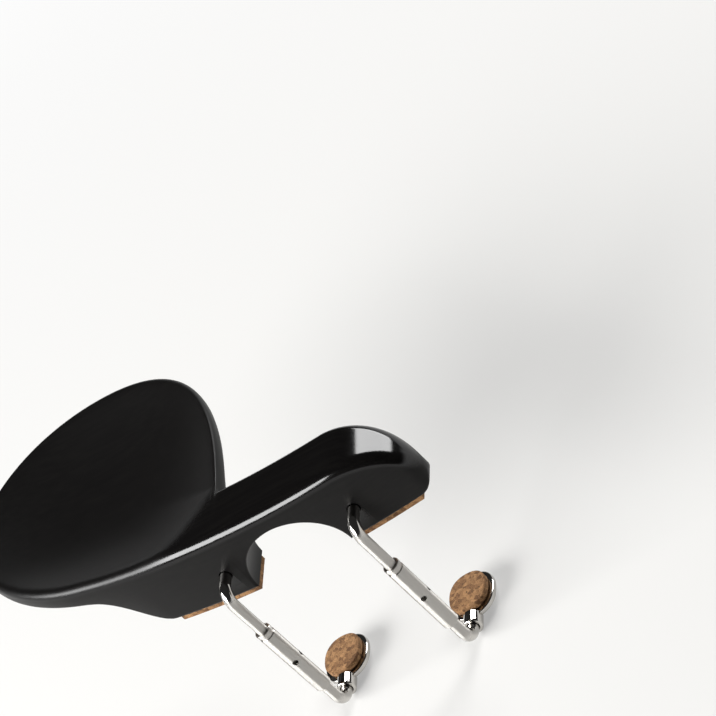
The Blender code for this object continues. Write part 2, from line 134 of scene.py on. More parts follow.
def share(name, text, value):
    return FloatProperty(
        name=name, description=text, default=value, subtype="FACTOR", min=0, max=1
    )


def power(name, text, watts):
    return FloatProperty(name=name, description=text, default=watts, unit="POWER")


def spot(name, text, metres):
    return FloatVectorProperty(
        name=name, description=text, default=metres, subtype="TRANSLATION", unit="LENGTH"
    )


def direction(name, text, value):
    return FloatVectorProperty(name=name, description=text, default=value, subtype="DIRECTION")


class PlateSizes(bpy.types.PropertyGroup):
    """Sizes of the carved plate."""

    end_radius: length("End radius", "Curve of the front wall in plan", 215)
    wall_front: length("Wall front", "Front wall's place at the middle", -0.4)
    arm_depth: length("Arm depth", "Arm from its front wall to its back", 15)
    arm_right: length("Arm end", "How far right the arm reaches", 38)
    end_length: length("End length", "Length of the arm's rounded end", 19)
    end_corner: length("End corner", "Front corner of the rounded end", 3)
    end_height: length("End height", "Height of the tip of the arm", 6.5)
    end_tuck: length("End tuck", "How far the foot tucks in under the arm's end", 4.5)
    end_round: length("End rounding", "Extra rounding of the back edge at the arm's end", 2)
    corner_x: length("Inner corner", "Where the cup meets the arm", -13)
    side_pull: length("Side pull", "Fullness of the cup's right side", 33)
    shoulder_pull: length("Shoulder pull", "Fullness of the cup's back shoulder", 31)
    back_x: length("Back across", "Place of the back of the cup, across", -56)
    back_y: length("Back", "Place of the back of the cup", 72)
    left_x: length("Left tip", "How far left the cup reaches", -95)
    left_y: length("Left tip depth", "Place of the left tip from the wall", 42)
    back_pull: length("Back pull", "Fullness of the back of the cup", 24)
    left_pull: length("Left pull", "Fullness of the left tip", 16)
    front_x: length("Front turn", "Where the front wall turns into the cup's left edge", -60)
    front_pull: length("Front pull", "Fullness of that turn", 18)
    top_height: length("Top height", "Height of the board at the front wall", 21.8)
    edge_round: length("Ridge rounding", "Rounding of the front ridge", 3)
    rim_round: length("Rim rounding", "Rounding of the cup's rim", 1.6)
    rim_under: length("Rim underside", "Rounding of the rim's lower edge", 2)
    rim_land: length("Rim land", "Flat between the hollow and the rim's edge", 1.3)
    rim_thickness: length("Rim thickness", "Thickness of the cup", 4.4)
    front_thickness: length("Front thickness", "Thickness of the cup's front edge at the foot", 9.5)
    foot_bottom: length("Foot bottom", "Height of the feet above the violin's edge", 2)
    foot_round: length("Foot rounding", "Rounding of the feet's lower edges", 0.7)
    foot_depth: length("Foot depth", "Feet from the front wall to their back", 12)
    foot_slope: length("Foot slope", "Slope of the feet's back wall", 1.5)
    left_foot: length("Left foot", "Where the left foot ends", -41)
    foot_flare: length("Foot flare", "How softly the left foot runs out into the cup", 9)
    bowl_x: length("Hollow across", "Deepest point of the hollow, across", -54)
    bowl_y: length("Hollow depth place", "Deepest point of the hollow from the wall", 38)
    bowl_depth: length("Hollow depth", "Depth of the chin hollow", 7.5)
    crease_left: length("Crease end", "Where the crease runs out along the front edge", -47)
    crease_corner_pull: length("Crease corner pull", "Bow of the crease at the inner corner", 17)
    crease_left_pull: length("Crease left pull", "Bow of the crease at its left end", 17)
    arch_centre: length("Arch centre", "Middle of the arch", -1)
    arch_width: length("Arch width", "Width of the arch at its foot", 28)
    arch_top: length("Arch top", "Height of the arch's crown", 15.6)
    arch_round: length("Arch rounding", "Rounding of the arch's edges", 0.6)
    tilt: angle("Tilt", "Rise of the board towards the neck", 3.4)


class ClampSizes(bpy.types.PropertyGroup):
    """Sizes of the clamp's turned and bent metal and of the corks."""

    rod: length("Rod", "Diameter of the rods", 3)
    bore: length("Bore", "Diameter of the holes that take the rods", 3.4)
    upper_bend: length("Upper bend", "Bend radius of the upper hooks", 4)
    lower_bend: length("Lower bend", "Bend radius of the lower hooks", 4.2)
    pitch: length("Pitch", "Pitch of the rods' threads", 0.5)
    thread_depth: length("Thread depth", "Depth of the rods' threads", 0.24)
    thread: length("Thread", "Length of the thread on a rod", 8.2)
    barrel: length("Barrel", "Diameter of the barrels", 4.4)
    lip: length("Lip", "Length of a barrel's lip", 1.1)
    groove: length("Groove", "Width of the groove below the lip", 0.7)
    groove_depth: length("Groove depth", "Depth of that groove", 0.25)
    barrel_round: length("Barrel rounding", "Rounding of a barrel's lower end", 0.8)
    pin_hole: length("Pin hole", "Diameter of the pin holes", 1.5)
    pin_turn: angle("Pin turn", "Where the first pin hole stands round a barrel", 20)
    foot_plate: length("Foot plate", "Thickness of the foot plates", 1.5)
    boss: length("Boss", "Diameter of the boss that takes the lower rod", 5)
    foot_edge: length("Foot edge", "Rounding of the foot plates' edges", 0.35)
    cork_edge: length("Cork edge", "Rounding of the cork pads' edges", 0.18)
    cork_rough: length("Cork roughness", "How uneven a cut cork edge is", 0.07)
    pin_rows: IntProperty(
        name="Pin rows", description="Pin holes drilled across each barrel", default=2, min=1
    )


class Finishes(bpy.types.PropertyGroup):
    """Colours and gloss."""

    ebony_dark: colour("Ebony", "Ground colour of the ebony", "#090808")
    ebony_streak: colour("Ebony streak", "Lighter streaks in the ebony", "#0f0e0d")
    nickel: colour("Nickel", "Colour of the nickel plate", "#c2bfba")
    cork_light: colour("Cork", "Light granules of the cork", "#9c7650")
    cork_dark: colour("Cork dark", "Dark granules of the cork", "#60422a")
    floor: colour("Floor", "Colour of the floor", "#c8c7c4")
    satin: share("Satin", "Roughness of the cup and the front wall", 0.4)
    satin_sheen: share("Satin sheen", "Mirror strength of the cup and the front wall", 0.19)
    gloss: share("Gloss", "Roughness of the polished arm", 0.1)
    white: share("White", "How far the floor near the object turns to plain white", 0.35)


class StageSettings(bpy.types.PropertyGroup):
    """Camera and light."""

    camera: spot("Camera", "Place of the camera", (0.306428, -0.447281, 0.353681))
    right: direction(
        "Right", "Direction to the right in the picture", (0.790339, 0.034179, -0.611715)
    )
    up: direction("Up", "Direction up in the picture", (0.438081, 0.666472, 0.603241))
    focal: FloatProperty(
        name="Focal length", description="Focal length for a 36 mm wide sensor",
        default=136.914, unit="CAMERA",
    )
    key: power("Key", "Power of the softbox behind the arm", 15.0)
    key_place: spot("Key place", "Softbox from the middle of the object", (0.54, 0.86, 0.73))
    strip: power("Strip", "Power of the strip light in front", 24.0)
    strip_place: spot(
        "Strip place", "Strip light from the middle of the object", (-0.64, -0.56, 0.5)
    )
    sky: share("Sky", "Brightness of the room above the horizon", 0.03)


def add(tree, kind, inputs=None, **settings):
    """Adds a node; an input takes a value, a socket, or a node for its first output."""
    made = tree.nodes.new(kind)
    for name, value in settings.items():
        setattr(made, name, value)
    for socket, value in (inputs or {}).items():
        if isinstance(value, bpy.types.Node):
            value = value.outputs[0]
        if isinstance(value, bpy.types.NodeSocket):
            tree.links.new(value, made.inputs[socket])
        else:
            made.inputs[socket].default_value = value
    return made


def new_material(name):
    """A material and what adds its nodes, which is None where it is already made."""
    if name in bpy.data.materials:
        return bpy.data.materials[name], None
    material = bpy.data.materials.new(name)
    material.use_nodes = True
    material.node_tree.nodes.clear()
    return material, partial(add, material.node_tree)


def cells(*sizes):
    """Scale of a pattern with cells of these sizes in millimetres."""
    return [1 / (size * MM) for size in sizes]


def two_tone(ramp, dark, light, start=0.0, end=1.0):
    """Gives a ramp its two colours and the places where they begin and end to mix."""
    for element, place, tone in zip(ramp.color_ramp.elements, (start, end), (dark, light)):
        element.position = place
        element.color = (*tone, 1)


def oiled_ebony(context):
    """Ebony, carved, sanded and oiled: close to black, with faint long streaks and fine pores.

    The arm and the ridge are burnished, so they mirror; the cup and the wall stay satin.
    """
    material, node = new_material("oiled_ebony")
    if not node:
        return material
    look = context.scene.chin_rest_finishes
    place = node("ShaderNodeTexCoord").outputs["Object"]
    # Streaks about 0.7 mm wide and 14 mm long, along the plate
    long = node("ShaderNodeMapping", {"Vector": place, "Scale": cells(14, 0.7, 0.7)})
    streaks = node(
        "ShaderNodeTexNoise", {"Vector": long, "Scale": 1.0, "Detail": 3.0, "Roughness": 0.6}
    )
    ramp = node("ShaderNodeValToRGB", {"Fac": streaks})
    two_tone(ramp, look.ebony_dark, look.ebony_streak, 0.42, 0.78)
    # Pores about 0.15 mm wide and 1.8 mm long, drawn a little coarse so that they show
    fine = node("ShaderNodeMapping", {"Vector": place, "Scale": cells(1.8, 0.15, 0.15)})
    pores = node(
        "ShaderNodeTexNoise", {"Vector": fine, "Scale": 1.0, "Detail": 2.0, "Roughness": 0.5}
    )
    bump = node("ShaderNodeBump", {"Height": pores, "Strength": 0.12, "Distance": 0.05 * MM})
    polish = node("ShaderNodeAttribute", attribute_name="polish").outputs["Fac"]
    roughness = node(
        "ShaderNodeMapRange", {"Value": polish, "To Min": look.satin, "To Max": look.gloss}
    )
    varied = node("ShaderNodeMath", {0: streaks, 1: 0.04, 2: roughness}, operation="MULTIPLY_ADD")
    # Open pores leave the sanded parts duller than the burnished ones
    sheen = node(
        "ShaderNodeMapRange", {"Value": polish, "To Min": look.satin_sheen, "To Max": 0.5}
    )
    shader = node("ShaderNodeBsdfPrincipled", {
        "Base Color": ramp,
        "Roughness": varied,
        "Normal": bump,
        "IOR": 1.45,
        "Specular IOR Level": sheen,
    })
    node("ShaderNodeOutputMaterial", {"Surface": shader})
    return material


def nickel_plate(context):
    """Nickel plate over turned and bent brass: a bright mirror with faint polishing marks, and
    painted shade with oil in the roots of the threads.
    """
    material, node = new_material("nickel_plated_brass")
    if not node:
        return material
    look = context.scene.chin_rest_finishes
    place = node("ShaderNodeTexCoord").outputs["Object"]
    # Polishing haze in patches of about 2 mm
    haze = node(
        "ShaderNodeTexNoise",
        {"Vector": place, "Scale": 1 / (2 * MM), "Detail": 4.0, "Roughness": 0.6},
    )
    polished = node(
        "ShaderNodeMapRange",
        {"Value": haze, "From Min": 0.3, "From Max": 0.75, "To Min": 0.05, "To Max": 0.13},
    )
    # Lathe marks about 0.2 mm apart
    lathe = node("ShaderNodeMapping", {"Vector": place, "Scale": cells(6, 6, 0.2)})
    marks = node(
        "ShaderNodeTexNoise", {"Vector": lathe, "Scale": 1.0, "Detail": 2.0, "Roughness": 0.5}
    )
    bump = node("ShaderNodeBump", {"Height": marks, "Strength": 0.05, "Distance": 0.02 * MM})
    # Turned stretches smear what they mirror along the post
    grain = node("ShaderNodeAttribute", attribute_name="along").outputs["Vector"]
    rise = node("ShaderNodeSeparateXYZ", {0: grain}).outputs["Z"]
    upright = node("ShaderNodeMath", {0: rise}, operation="ABSOLUTE")
    smear = node("ShaderNodeMapRange", {"Value": upright, "From Min": 0.8})
    roughness = node("ShaderNodeMapRange", {"Value": smear, "To Min": polished, "To Max": 0.36})
    # Painted shade and oil darken the roots of the threads, where their mark reaches a half
    root = node("ShaderNodeAttribute", attribute_name="root").outputs["Fac"]
    oil_and_painted_shade = node(
        "ShaderNodeMapRange", {"Value": root, "From Max": 0.5, "To Min": 1.0, "To Max": 0.2}
    )
    plated = node("ShaderNodeVectorMath", {0: look.nickel, "Scale": oil_and_painted_shade}, operation="SCALE")
    shader = node("ShaderNodeBsdfPrincipled", {
        "Base Color": plated,
        "Metallic": 1.0,
        "Roughness": roughness,
        "Anisotropic": smear,
        "Tangent": grain,
        "Normal": bump,
    })
    node("ShaderNodeOutputMaterial", {"Surface": shader})
    return material


def sheet_cork(context):
    """Pressed cork sheet: brown granules about 1 mm across with dark specks, dead matte."""
    material, node = new_material("pressed_cork")
    if not node:
        return material
    look = context.scene.chin_rest_finishes
    place = node("ShaderNodeTexCoord").outputs["Object"]
    # Granules about 1 mm across
    granules = node("ShaderNodeTexVoronoi", {"Vector": place, "Scale": 1 / (1.0 * MM)})
    tone = node("ShaderNodeSeparateColor", {"Color": granules.outputs["Color"]})
    ramp = node("ShaderNodeValToRGB", {"Fac": tone})
    two_tone(ramp, look.cork_dark, look.cork_light)
    # Dark specks about 0.3 mm across
    specks = node(
        "ShaderNodeTexNoise",
        {"Vector": place, "Scale": 1 / (0.3 * MM), "Detail": 3.0, "Roughness": 0.6},
    )
    light = node(
        "ShaderNodeMapRange",
        {"Value": specks, "From Min": 0.35, "From Max": 0.5, "To Min": 0.45},
    )
    speckled = node("ShaderNodeVectorMath", {0: ramp, "Scale": light}, operation="SCALE")
    bump = node("ShaderNodeBump", {"Height": specks, "Strength": 0.5, "Distance": 0.1 * MM})
    shader = node("ShaderNodeBsdfPrincipled", {
        "Base Color": speckled,
        "Roughness": 0.92,
        "Normal": bump,
        "IOR": 1.4,
    })
    node("ShaderNodeOutputMaterial", {"Surface": shader})
    return material


def mesh_data(mesh, name):
    """The built mesh as Blender's own data."""
    data = bpy.data.meshes.new(name)
    mesh.to_mesh(data)
    mesh.free()
    return data


def linked(name, data):
    """An object at the origin that carries this data."""
    obj = bpy.data.objects.new(name, data)
    bpy.context.scene.collection.objects.link(obj)
    return obj


def mesh_object(name, data, material):
    data.materials.clear()
    data.materials.append(material)
    return linked(name, data)


def evaluated_mesh(obj):
    """The object's shape with its modifiers."""
    bpy.context.view_layer.update()
    graph = bpy.context.evaluated_depsgraph_get()
    return bpy.data.meshes.new_from_object(obj.evaluated_get(graph))


def soften(data, sharp):
    """Smooth shading, with edges over this many degrees left sharp."""
    data.shade_smooth()
    data.set_sharp_from_angle(angle=math.radians(sharp))


def plain_mesh(obj, name, material, sharp):
    """The object's evaluated shape as a new plain object; the old one goes."""
    data = evaluated_mesh(obj)
    bpy.data.objects.remove(obj)
    data.name = name
    soften(data, sharp)
    return mesh_object(name, data, material)


def settle(obj, body, slot, *nodes):
    """The piece rides on its body and stands for its CAD nodes; the finish slot is not used."""
    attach(obj, body)
    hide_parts(*nodes)


def lofted(name, rings, closed=False):
    """Mesh through rings of equal length, closed on itself or with a fan on each end."""
    mesh = bmesh.new()
    loops = [[mesh.verts.new(point) for point in ring] for ring in rings]
    count = len(loops[0])
    following = loops[1:] + loops[:1] if closed else loops[1:]
    ends = [] if closed else [loops[0][::-1], loops[-1]]
    for one, two in zip(loops, following):
        for i in range(count):
            j = (i + 1) % count
            mesh.faces.new((one[i], one[j], two[j], two[i]))
    for loop in ends:
        tip = mesh.verts.new(sum((vert.co for vert in loop), Vector()) / count)
        for i in range(count):
            mesh.faces.new((loop[i], loop[(i + 1) % count], tip))
    bmesh.ops.remove_doubles(mesh, verts=mesh.verts, dist=WELD)
    if mesh.calc_volume(signed=True) < 0:
        bmesh.ops.reverse_faces(mesh, faces=mesh.faces)
    return mesh_data(mesh, name)


def turns(count):
    """Even angles round a full circle."""
    return [2 * math.pi * i / count for i in range(count)]


def fillet(centre, radius, start, end, steps=5):
    """Points of a rounded corner of a profile."""
    points = []
    for i in range(steps + 1):
        turn = start + (end - start) * i / steps
        points.append((centre[0] + radius * math.cos(turn), centre[1] + radius * math.sin(turn)))
    return points


def nose(distance, reach):
    """Share of a rounded end's drop, from 1 at its tip to 0 at its reach."""
    part = max(0.0, 1 - distance / reach)
    return 1 - math.sqrt(max(0.0, 1 - part * part))


def ramped(value, start, end):
    """0 up to the start, 1 from the end on."""
    return min(max((value - start) / (end - start), 0), 1)


def bezier(start, start_handle, end_handle, end, steps=96):
    points = interpolate_bezier(
        start.to_3d(), start_handle.to_3d(), end_handle.to_3d(), end.to_3d(), steps
    )
    return [point.to_2d() for point in points]


def along(points, part):
    """Point at a share of a polyline's length."""
    lengths = [(b - a).length for a, b in zip(points, points[1:])]
    wanted = part * sum(lengths)
    for a, b, reach in zip(points, points[1:], lengths):
        if wanted <= reach:
            return a.lerp(b, wanted / reach)
        wanted -= reach
    return points[-1].copy()


def between(start, end, steps):
    """Evenly spaced values between two ends, without the ends."""
    return [start + (end - start) * i / (steps + 1) for i in range(1, steps + 1)]


def spread(start, end, steps):
    """Evenly spaced values from one end to the other."""
    return [start + (end - start) * i / steps for i in range(steps + 1)]


class Outline:
    """Curves of the plate in plan."""

    WALL_STEPS = 96

    def __init__(self, sizes):
        self.sizes = sizes
        self.tip = Vector((sizes.left_x, sizes.left_y))
        self.corner = Vector((sizes.corner_x, self.wall(sizes.corner_x) + sizes.arm_depth))

    def wall(self, x):
        """Place of the front wall."""
        return self.sizes.wall_front + x * x / (2 * self.sizes.end_radius)

    def wall_slope(self, x):
        """Direction of the wall towards the left."""
        return Vector((-1, -x / self.sizes.end_radius)).normalized()

    def top(self, y):
        """Height of the board."""
        return self.sizes.top_height + y * math.tan(self.sizes.tilt)

    def back(self):
        """Rim of the cup from the inner corner, round the back to the left tip."""
        sizes = self.sizes
        back = Vector((sizes.back_x, sizes.back_y))
        side_handle = self.corner + Vector((0, sizes.side_pull))
        side = bezier(self.corner, side_handle, back + Vector((sizes.shoulder_pull, 0)), back)
        tip_handle = self.tip + Vector((0, sizes.left_pull))
        end = bezier(back, back - Vector((sizes.back_pull, 0)), tip_handle, self.tip)
        return side + end[1:]

    def front(self):
        """Front of the cup from below the corner, along the wall to the left tip."""
        sizes = self.sizes
        xs = spread(sizes.corner_x, sizes.front_x, self.WALL_STEPS)
        wall = [Vector((x, self.wall(x))) for x in xs]
        wall_handle = wall[-1] + self.wall_slope(sizes.front_x) * sizes.front_pull
        turn = bezier(wall[-1], wall_handle, self.tip - Vector((0, sizes.left_pull)), self.tip)
        return wall + turn[1:]

    def crease(self):
        """Line where the hollow meets the arm's strip."""
        sizes = self.sizes
        corner = self.corner + Vector((-sizes.rim_land, sizes.rim_land))
        left = Vector((sizes.crease_left, self.wall(sizes.crease_left) + sizes.rim_land))
        corner_handle = corner + Vector((-1, -1)).normalized() * sizes.crease_corner_pull
        left_handle = left - self.wall_slope(sizes.crease_left) * sizes.crease_left_pull
        return bezier(corner, corner_handle, left_handle, left)


class Hollow:
    """The chin hollow, as a reach for each direction from its deepest point."""

    SOFTNESS = 0.12
    SEARCH_STEPS = 400

    def __init__(self, outline):
        sizes = outline.sizes
        self.land = sizes.rim_land
        self.deepest = sizes.bowl_depth
        self.middle = Vector((sizes.bowl_x, sizes.bowl_y))
        self.rim = self.polar(outline.back() + outline.front()[::-1])
        self.crease = self.polar(outline.crease())

    def polar(self, points):
        """Bearings of the points from the deepest one, in order, and their distances."""
        pairs = []
        for point in points:
            arm = point - self.middle
            pairs.append((math.atan2(arm.y, arm.x), arm.length))
        pairs.sort()
        return [bearing for bearing, _ in pairs], [reach for _, reach in pairs]

    @staticmethod
    def reach(table, turn):
        """Distance at a bearing, or None where the line does not run."""
        bearings, reaches = table
        if not bearings[0] <= turn <= bearings[-1]:
            return None
        i = min(max(bisect.bisect_left(bearings, turn), 1), len(bearings) - 1)
        gap = max(bearings[i] - bearings[i - 1], 1e-9)
        part = (turn - bearings[i - 1]) / gap
        return reaches[i - 1] + (reaches[i] - reaches[i - 1]) * part

    def share(self, point):
        """0 at the deepest point, 1 on the hollow's edge."""
        arm = point - self.middle
        turn = math.atan2(arm.y, arm.x)
        ends = (self.rim[1][0] + self.rim[1][-1]) / 2
        reach = (self.reach(self.rim, turn) or ends) - self.land
        crease = self.reach(self.crease, turn)
        return arm.length / (min(reach, crease) if crease else reach)

    def depth(self, point):
        """Depth below the board, with the hollow's edge softened."""
        fall = 1 - self.share(point) ** 2
        return self.deepest * (fall + math.hypot(fall, self.SOFTNESS)) / 2

    def edges(self, front, back):
        """Shares of the line from front to back where it enters and leaves the hollow."""
        parts = spread(0, 1, self.SEARCH_STEPS)
        inside = [part for part in parts if self.share(front.lerp(back, part)) < 1]
        return (inside[0], inside[-1]) if inside else None


class Station:
    """Where one ring of the plate starts and ends, and how its edges run."""

    def __init__(self, sizes, front, back, cup=False):
        self.front = front
        self.back = back
        self.cup = cup
        self.top_drop = 0.0
        self.under_rise = 0.0
        self.back_round = sizes.rim_round
        self.front_low = sizes.foot_round
        self.back_low = sizes.foot_round
        self.front_bottom = sizes.foot_bottom
        self.back_bottom = sizes.foot_bottom


class Plate:
    """The plate's rings, from the tip of the arm to the tip of the cup."""

    ROUND_STEPS = 8
    LOW_STEPS = 4
    BOWL_STEPS = 48
    UNDER_STEPS = 20
    STRIP_STEPS = 8
    CUP_STATIONS = 110
    ARM_STATIONS = 24
    END_STATIONS = 24
    END_START = math.radians(4)
    # Most of a wall or a ring that an upper rounding takes, and of a ring that a lower one takes
    ROUND_SHARE = 0.45
    LOW_SHARE = 0.3
    # Power by which the front's extra depth runs out at the tip of the cup
    TIP_FADE = 6
    # Most by which a slanting ring lengthens the foot, and most of the foot that is its sole
    MOST_SLANT = 2.0
    FOOT_SHARE = 0.9
    ARCH_SIDES = 128
    ARCH_STEPS = 8
    ARCH_OVERRUN = 20 * MM
    # Where the polish begins and is full: by how far a face looks up, by the share of the
    # hollow's reach, and by how straight in front of the hollow's middle a point lies
    POLISH_RISE = (0.08, 0.28)
    POLISH_OUT = (0.99, 1.09)
    POLISH_AHEAD = (0.3, 0.5)

    def __init__(self, sizes):
        self.sizes = sizes
        self.outline = Outline(sizes)
        self.hollow = Hollow(self.outline)

    def end_stations(self):
        """The arm's rounded end, from its tip."""
        sizes = self.sizes
        made = []
        for turn in spread(self.END_START, QUARTER, self.END_STATIONS)[:-1]:
            distance = sizes.end_length * (1 - math.cos(turn))
            x = sizes.arm_right - distance
            wall = self.outline.wall(x)
            full = nose(distance, sizes.end_length)
            front = Vector((x, wall + sizes.end_corner * nose(distance, sizes.end_corner)))
            back = Vector((x, wall + sizes.arm_depth - (sizes.arm_depth - sizes.end_corner) * full))
            station = Station(sizes, front, back)
            station.top_drop = (self.outline.top(front.y) - sizes.end_height) * full
            tuck = nose(distance, sizes.end_tuck)
            station.front_bottom = sizes.foot_bottom + (sizes.end_height - sizes.foot_bottom) * tuck
            station.back_bottom = station.front_bottom
            part = 1 - distance / sizes.end_length
            station.back_round = sizes.rim_round + sizes.end_round * part
            made.append(station)
        return made

    def arm_stations(self):
        """The arm, from its rounded end to the inner corner."""
        sizes = self.sizes
        made = []
        for x in spread(sizes.arm_right - sizes.end_length, sizes.corner_x, self.ARM_STATIONS):
            front = Vector((x, self.outline.wall(x)))
            made.append(Station(sizes, front, front + Vector((0, sizes.arm_depth))))
        return made

    def cup_stations(self):
        """The cup, fanned round the inner corner and on to its tip."""
        sizes = self.sizes
        fronts = self.outline.front()
        backs = self.outline.back()
        made = []
        for turn in between(0, QUARTER, self.CUP_STATIONS):
            part = math.sin(turn)
            front = along(fronts, part)
            back = along(backs, part)
            station = Station(sizes, front, back, cup=True)
            station.front_low = sizes.foot_round + (sizes.rim_under - sizes.foot_round) * part
            station.back_low = sizes.rim_under
            tip = nose((front.x + back.x) / 2 - sizes.left_x, sizes.rim_round)
            station.top_drop = sizes.rim_round * tip
            rise = (sizes.rim_thickness - sizes.rim_round) / 2 * tip
            station.under_rise = station.top_drop + rise
            station.back_bottom = self.outline.top(back.y) - sizes.rim_thickness + rise
            deeper = (sizes.front_thickness - sizes.rim_thickness) * (1 - part)
            deeper *= 1 - part**self.TIP_FADE
            rim_bottom = self.outline.top(front.y) - sizes.rim_thickness - deeper + rise
            foot = math.exp(-((max(0.0, sizes.left_foot - front.x) / sizes.foot_flare) ** 2))
            station.front_bottom = rim_bottom + (sizes.foot_bottom - rim_bottom) * foot
            made.append(station)
        return made

    def ring(self, station):
        """One closed ring, up the front, over the top and back along the underside."""
        sizes = self.sizes
        front, back = station.front, station.back
        span = (back - front).length
        front_across = min(sizes.edge_round, self.ROUND_SHARE * span)
        back_across = min(station.back_round, self.ROUND_SHARE * span)

        def place(distance):
            return front.lerp(back, distance / span)

        def board(distance):
            return self.outline.top(place(distance).y) - station.top_drop

        front_most = self.ROUND_SHARE * (board(0) - station.front_bottom)
        back_most = self.ROUND_SHARE * (board(span) - station.back_bottom)
        front_up = min(sizes.edge_round, front_most)
        back_up = min(station.back_round, back_most)
        low = min(station.front_low, front_most, self.LOW_SHARE * span)
        back_low = min(station.back_low, back_most, self.LOW_SHARE * span)

        def hollow_depth(distance):
            return self.hollow.depth(place(distance)) if station.cup else 0.0

        def top(distance):
            edge = front_up * nose(distance, front_across)
            edge += back_up * nose(span - distance, back_across)
            return board(distance) - edge - hollow_depth(distance)

        def under(distance):
            if not station.cup:
                return station.front_bottom
            lift = station.under_rise - sizes.rim_thickness
            return board(distance) + lift - hollow_depth(distance)

        edges = self.hollow.edges(front, back) if station.cup else None
        entry = edges[0] * span if edges else span / 2
        leave = edges[1] * span if edges else span - back_across
        turn_in = math.acos(max(0.0, 1 - entry / front_across))
        turn_out = math.acos(max(0.0, 1 - (span - leave) / back_across))
        front_edge = [
            front_across * (1 - math.cos(turn)) for turn in spread(0, turn_in, self.ROUND_STEPS)
        ]
        back_edge = [
            span - back_across * (1 - math.cos(turn))
            for turn in reversed(spread(0, turn_out, self.ROUND_STEPS))
        ]
        strip = between(front_edge[-1], entry, self.STRIP_STEPS)
        bowl = [
            entry + (leave - entry) * (1 - math.cos(turn)) / 2
            for turn in between(0, math.pi, self.BOWL_STEPS - 1)
        ]
        reach = sizes.foot_depth / max((back - front).normalized().y, 1 / self.MOST_SLANT)
        foot_top = min(reach + sizes.foot_slope, span - back_low - low)
        foot = min(reach, self.FOOT_SHARE * foot_top)
        ring = fillet(
            (low, station.front_bottom + low), low, -QUARTER, -math.pi, self.LOW_STEPS
        )
        upper_side = front_edge + strip + bowl + back_edge
        ring += [(distance, top(distance)) for distance in upper_side]
        back_centre = (span - back_low, station.back_bottom + back_low)
        ring += fillet(back_centre, back_low, 0, -QUARTER, self.LOW_STEPS)
        under_side = between(span - back_low, foot_top, self.UNDER_STEPS) + [foot_top]
        ring += [(distance, under(distance)) for distance in under_side]
        ring.append((foot, station.front_bottom))
        return [(*place(distance), height) for distance, height in ring]

    def mesh(self, name):
        """The plate before its arch and holes are cut."""
        stations = self.end_stations() + self.arm_stations() + self.cup_stations()
        return lofted(name, [self.ring(station) for station in stations])

    def arch_cutter(self):
        """Arch with rounded mouths that follow the wall in plan."""
        sizes = self.sizes
        across = sizes.arch_width / 2
        high = sizes.arch_top - sizes.foot_bottom
        soft = sizes.arch_round
        mouth = [soft * (1 - math.cos(turn)) for turn in spread(0, QUARTER, self.ARCH_STEPS)]
        depths = [-self.ARCH_OVERRUN, *mouth]
        depths += [sizes.arm_depth - depth for depth in reversed(mouth)] + [sizes.back_y]
        rings = []
        for depth in depths:
            near = min(max(depth, 0), max(sizes.arm_depth - depth, 0))
            grow = soft * nose(near, soft)
            ring = []
            for turn in turns(self.ARCH_SIDES):
                x = sizes.arch_centre + (across + grow) * math.cos(turn)
                z = sizes.foot_bottom + (high + grow) * math.sin(turn)
                ring.append((x, self.outline.wall(x) + depth, z))
            rings.append(ring)
        return lofted("arch_cutter", rings)

    def polish(self, point, normal):
        """1 on the burnished arm and front ridge, 0 in the satin cup and on the wall."""
        flat = point.to_2d()
        upper = ramped(normal.z, *self.POLISH_RISE)
        if flat.x > self.sizes.corner_x:
            return upper
        arm = flat - self.hollow.middle
        outside = ramped(self.hollow.share(flat), *self.POLISH_OUT)
        return upper * outside * ramped(-arm.normalized().y, *self.POLISH_AHEAD)


def drill(start, end, radius, sides=48):
    """A closed cylinder from start to end."""
    axis = end - start
    turn = axis.to_track_quat("Z", "Y").to_matrix().to_4x4()
    mesh = bmesh.new()
    bmesh.ops.create_cone(
        mesh, cap_ends=True, segments=sides, radius1=radius, radius2=radius, depth=axis.length,
        matrix=Matrix.Translation((start + end) / 2) @ turn,
    )
    return mesh_data(mesh, "drill")


def combine(obj, data, operation):
    """Booleans a mesh into the object and drops the tool."""
    tool = mesh_object("tool", data, obj.data.materials[0])
    modifier = obj.modifiers.new("combine", "BOOLEAN")
    modifier.operation = operation
    modifier.object = tool
    result = evaluated_mesh(obj)
    obj.modifiers.clear()
    obj.data = result
    bpy.data.objects.remove(tool)


class CHINREST_OT_plate(bpy.types.Operator):
    """Carve the plate: cup, arm, feet, arch and rod holes"""

    bl_idname = "chin_rest.plate"
    bl_label = "Carved plate"

    def execute(self, context):
        clamp = context.scene.chin_rest_clamp
        name = "carved_plate"
        ebony = oiled_ebony(context)
        plate = Plate(context.scene.chin_rest_plate)
        obj = mesh_object(name, plate.mesh(name), ebony)
        combine(obj, plate.arch_cutter(), "DIFFERENCE")
        for side in SIDES:
            low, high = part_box(f"upper_hook_{side}")
            start = Vector(((low.x + high.x) / 2, low.y, high.z - clamp.rod / 2))
            end = Vector((start.x, high.y + OVERRUN, start.z))
            combine(obj, drill(start, end, clamp.bore / 2), "DIFFERENCE")
        obj = plain_mesh(obj, name, ebony, sharp=40)
        layer = obj.data.attributes.new("polish", "FLOAT", "POINT")
        layer.data.foreach_set("value", [plate.polish(v.co, v.normal) for v in obj.data.vertices])
        settle(obj, "plate", "ebony", "chin_plate")
        return {"FINISHED"}


